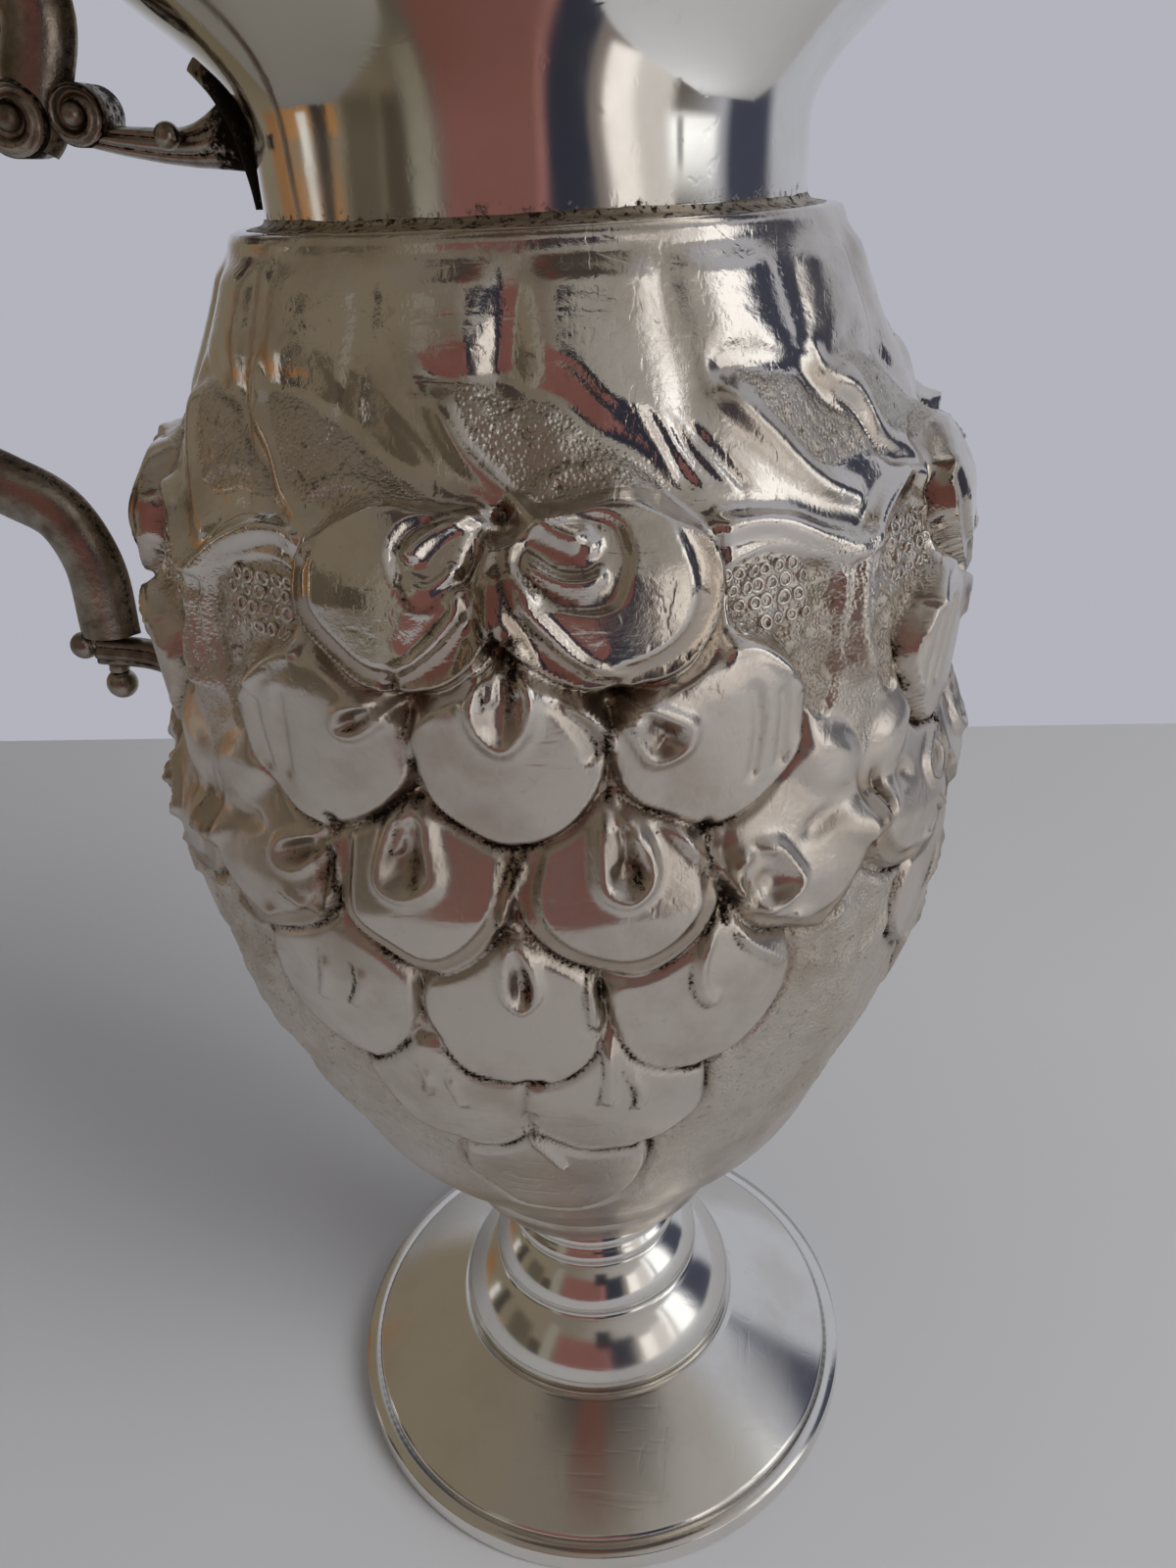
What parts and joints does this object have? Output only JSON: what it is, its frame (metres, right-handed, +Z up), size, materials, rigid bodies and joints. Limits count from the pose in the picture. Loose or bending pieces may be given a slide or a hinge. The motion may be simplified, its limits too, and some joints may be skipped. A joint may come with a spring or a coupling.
{
  "type": "silver cream jug",
  "caption": "Footed cream jug with a chased bunch-of-grapes body, a flared neck drawn into a pouring lip, a spun pedestal foot and a cast scroll handle.",
  "frame": {"origin": "middle of the ring that the foot stands on, on the jug's axis", "axes": "+Z up along the jug's axis, +X towards the pouring lip, handle at -X"},
  "size_m": [0.141, 0.0958, 0.2101],
  "materials": {
    "polished_silver": "mirror-polished sheet silver with fine scratches and a faint warm tarnish",
    "chased_silver": "chased sheet silver, bright on the high places and dark with old polish in the grooves",
    "antique_silver": "cast silver with dark brown tarnish"
  },
  "bodies": {
    "root": {"foot_rim": "polished_silver", "foot_dome": "polished_silver", "foot_stem": "polished_silver", "body": "chased_silver", "neck": "polished_silver", "handle_upper_arm": "antique_silver", "handle_scroll": "antique_silver", "handle_lower_bracket": "antique_silver", "arm_root_bead_front": "antique_silver", "arm_root_bead_back": "antique_silver", "arm_volute_eye_front": "antique_silver", "arm_volute_eye_back": "antique_silver", "scroll_volute_eye_front": "antique_silver", "scroll_volute_eye_back": "antique_silver", "scroll_end_ball": "antique_silver", "bracket_ball": "antique_silver", "tail_ball": "antique_silver"}
  },
  "joints": []
}
